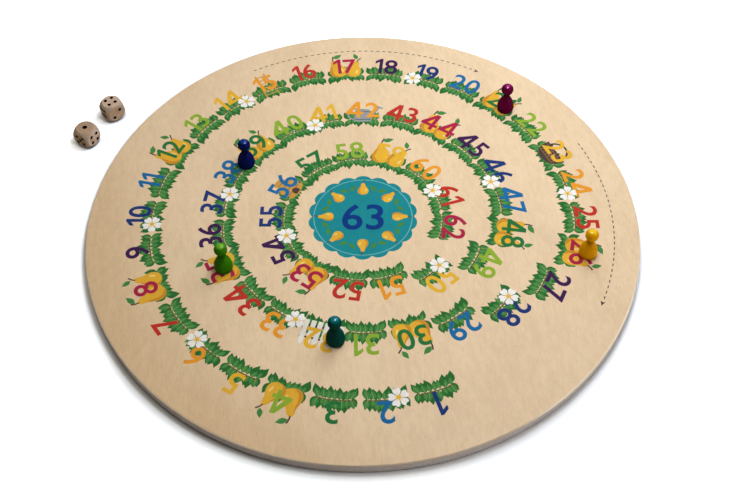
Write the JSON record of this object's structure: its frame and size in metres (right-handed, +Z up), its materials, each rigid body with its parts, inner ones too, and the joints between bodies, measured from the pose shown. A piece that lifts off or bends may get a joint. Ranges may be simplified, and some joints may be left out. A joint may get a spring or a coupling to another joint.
{
  "type": "board game set",
  "caption": "Round plywood board for a spiral race game, with turned wooden pawns standing on it and wooden dice lying beside it.",
  "frame": {"origin": "centre of the board's round underside, on the surface that the board and the dice lie on", "axes": "+Z up, square to the board; +Y away from the picture's viewer, +X to the viewer's right"},
  "size_m": [0.4262, 0.4, 0.0345],
  "materials": {
    "face_veneer": "printed and clear-varnished, satin",
    "long_ply": "sanded edge, clear-varnished",
    "cross_ply": "sanded end grain, clear-varnished",
    "purple_lacquer": "glossy lacquer over turned wood",
    "yellow_lacquer": "glossy lacquer over turned wood",
    "teal_lacquer": "glossy lacquer over turned wood",
    "green_lacquer": "glossy lacquer over turned wood",
    "blue_lacquer": "glossy lacquer over turned wood",
    "die_wood": "tumbled smooth, waxed",
    "ink": "thin printed ink under the varnish",
    "pip_paint": "black paint in the pips"
  },
  "bodies": {
    "board": {"face_veneer_top": "face_veneer", "cross_ply_upper": "cross_ply", "long_ply_upper": "long_ply", "core_ply": "cross_ply", "long_ply_lower": "long_ply", "cross_ply_lower": "cross_ply", "face_veneer_bottom": "face_veneer"},
    "purple_pawn": {"pawn_purple": "purple_lacquer"},
    "yellow_pawn": {"pawn_yellow": "yellow_lacquer"},
    "teal_pawn": {"pawn_teal": "teal_lacquer"},
    "green_pawn": {"pawn_green": "green_lacquer"},
    "blue_pawn": {"pawn_blue": "blue_lacquer"},
    "left_die": {"die_left": "die_wood"},
    "right_die": {"die_right": "die_wood"}
  },
  "joints": [
    {"name": "lift_purple_pawn", "type": "slide", "parent": "board", "child": "purple_pawn", "axis": [0, 0, 1], "range_m": [0, 0.06]},
    {"name": "lift_yellow_pawn", "type": "slide", "parent": "board", "child": "yellow_pawn", "axis": [0, 0, 1], "range_m": [0, 0.06]},
    {"name": "lift_teal_pawn", "type": "slide", "parent": "board", "child": "teal_pawn", "axis": [0, 0, 1], "range_m": [0, 0.06]},
    {"name": "lift_green_pawn", "type": "slide", "parent": "board", "child": "green_pawn", "axis": [0, 0, 1], "range_m": [0, 0.06]},
    {"name": "lift_blue_pawn", "type": "slide", "parent": "board", "child": "blue_pawn", "axis": [0, 0, 1], "range_m": [0, 0.06]},
    {"name": "lift_left_die", "type": "slide", "parent": "board", "child": "left_die", "axis": [0, 0, 1], "range_m": [0, 0.06]},
    {"name": "lift_right_die", "type": "slide", "parent": "board", "child": "right_die", "axis": [0, 0, 1], "range_m": [0, 0.06]}
  ]
}
